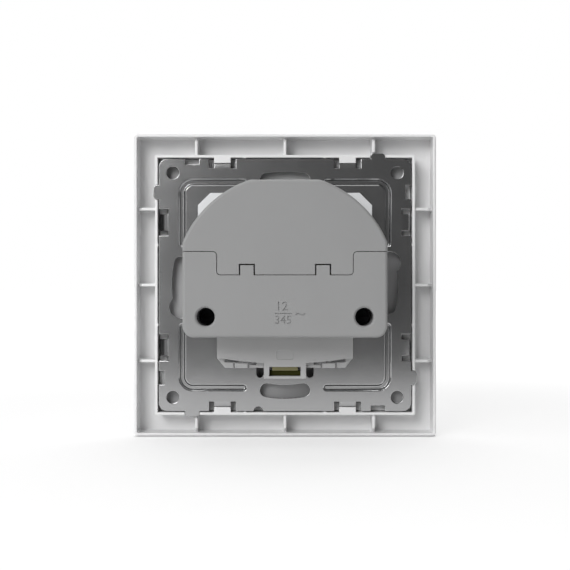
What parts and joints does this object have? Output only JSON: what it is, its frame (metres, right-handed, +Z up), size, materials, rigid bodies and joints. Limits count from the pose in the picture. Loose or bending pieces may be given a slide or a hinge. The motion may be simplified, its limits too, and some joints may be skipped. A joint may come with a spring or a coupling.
{
  "type": "usb wall socket",
  "caption": "Flush wall socket for a round box: square white cover frame, steel mounting plate, round earthed plug dish with charging ports above it, and a grey housing behind.",
  "frame": {"origin": "middle of the mounting plate on the wall's surface, which is the plate's rear face", "axes": "+Z up the wall, +Y into the wall, +X to the right as someone in the room sees the front"},
  "size_m": [0.085, 0.0393, 0.085],
  "materials": {
    "white_gloss_plastic": "gloss",
    "white_carrier_plastic": "satin",
    "grey_plastic": "satin",
    "zinc_steel": "satin",
    "screw_steel": "satin",
    "blackened_steel": "satin",
    "spring_steel": "satin",
    "brass": "satin",
    "shell_steel": "satin",
    "tongue_plastic": "matt",
    "board_laminate": "satin",
    "black_plastic": "matt",
    "core_ferrite": "matt",
    "bobbin_plastic": "satin",
    "can_aluminium": "satin",
    "copper_winding": "satin",
    "fuse_ceramic": "matt"
  },
  "bodies": {
    "root": {"cover_frame": "white_gloss_plastic", "socket_insert": "white_gloss_plastic", "contact_carrier": "white_carrier_plastic", "base_body": "grey_plastic", "rear_cover_lower": "grey_plastic", "rear_cover_upper": "grey_plastic", "mounting_plate": "zinc_steel", "carrier_screws": "screw_steel", "centre_screw": "screw_steel", "cover_screws": "blackened_steel", "live_spring": "spring_steel", "neutral_spring": "spring_steel", "earth_spring": "spring_steel", "live_contact": "brass", "neutral_contact": "brass", "earth_strap": "brass", "port_shells": "shell_steel", "port_tongues": "tongue_plastic", "port_board": "board_laminate", "main_board": "board_laminate", "board_header": "black_plastic", "header_pins": "brass", "transformer_core": "core_ferrite", "transformer_bobbin": "bobbin_plastic", "smoothing_cans": "can_aluminium", "output_can": "can_aluminium", "choke": "copper_winding", "controller_chip": "black_plastic", "rectifier": "black_plastic", "fuse": "fuse_ceramic"}
  },
  "joints": []
}
